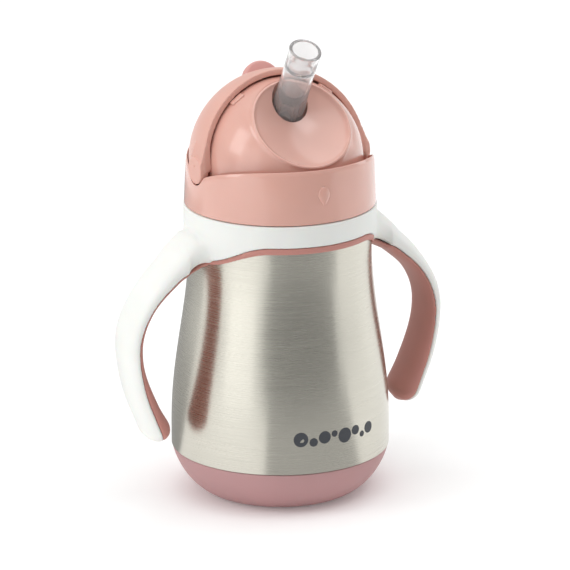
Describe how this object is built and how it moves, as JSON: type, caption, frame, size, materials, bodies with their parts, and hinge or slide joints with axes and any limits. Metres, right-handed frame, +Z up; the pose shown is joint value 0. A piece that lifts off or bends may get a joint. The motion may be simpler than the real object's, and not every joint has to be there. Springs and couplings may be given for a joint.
{
  "type": "straw cup",
  "caption": "Insulated steel straw cup for a toddler, with side handles, a screw lid, a swinging hood and a soft folding spout.",
  "frame": {"origin": "centre of the underside of the base pad, where the cup stands", "axes": "+Z up; -Y is the drinking side, towards which the spout leans and the hood closes; the handles stand out along +X and -X"},
  "size_m": [0.1382, 0.086, 0.184],
  "materials": {
    "brushed_steel": "steel brushed round the body, satin",
    "bright_steel": "plain bright steel inside",
    "pink_plastic": "satin moulded polypropylene",
    "mauve_pad": "matt moulded base",
    "white_plastic": "satin white moulding",
    "soft_grip": "soft-touch matt elastomer",
    "clear_silicone": "clear silicone",
    "white_silicone": "translucent white silicone"
  },
  "bodies": {
    "cup": {"base_pad": "mauve_pad", "outer_shell": "brushed_steel", "shell_bottom": "bright_steel", "vacuum_cap": "bright_steel", "inner_liner": "bright_steel"},
    "handles": {"handle_ring": "white_plastic", "lip_band": "soft_grip", "handle_left": "white_plastic", "handle_right": "white_plastic", "grip_left": "soft_grip", "grip_right": "soft_grip"},
    "lid_carrier": {"lid_seal": "white_silicone"},
    "lid": {"lid_body": "pink_plastic", "vent_valve": "white_silicone", "spout_retainer": "pink_plastic", "straw_connector": "white_silicone", "pivot_pin_left": "pink_plastic", "pivot_pin_right": "pink_plastic"},
    "hood": {"hood": "pink_plastic", "hood_tab": "mauve_pad"},
    "spout": {"spout": "clear_silicone"},
    "straw": {"straw_tube": "clear_silicone", "weight_core": "bright_steel", "weight_shell_top": "white_silicone", "weight_shell_bottom": "white_silicone"}
  },
  "joints": [
    {"name": "lid_lift", "type": "slide", "parent": "cup", "child": "lid_carrier", "axis": [0, 0, 1], "range_m": [0, 0.16]},
    {"name": "lid_turn", "type": "hinge", "parent": "lid_carrier", "child": "lid", "pos_m": [0, 0, 0.12], "axis": [0, 0, 1], "range_deg": [0, 270]},
    {"name": "handle_lift", "type": "slide", "parent": "cup", "child": "handles", "axis": [0, 0, 1], "range_m": [0, 0.07]},
    {"name": "hood_swing", "type": "hinge", "parent": "lid", "child": "hood", "pos_m": [0, 0, 0.1332], "axis": [1, 0, 0], "range_deg": [0, 88]},
    {"name": "spout_fold", "type": "hinge", "parent": "lid", "child": "spout", "pos_m": [0, -0.0084, 0.1583], "axis": [1, 0, 0], "range_deg": [0, 106], "deforming": ["spout"]},
    {"name": "straw_swing", "type": "hinge", "parent": "lid", "child": "straw", "pos_m": [0, 0, 0.1385], "axis": [1, 0, 0], "range_deg": [-6, 6], "deforming": ["straw_tube"]}
  ],
  "couplings": [
    {"joint": "handle_lift", "follows": "lid_lift", "ratio": 0.4},
    {"joint": "spout_fold", "follows": "hood_swing", "ratio": 1.2}
  ]
}
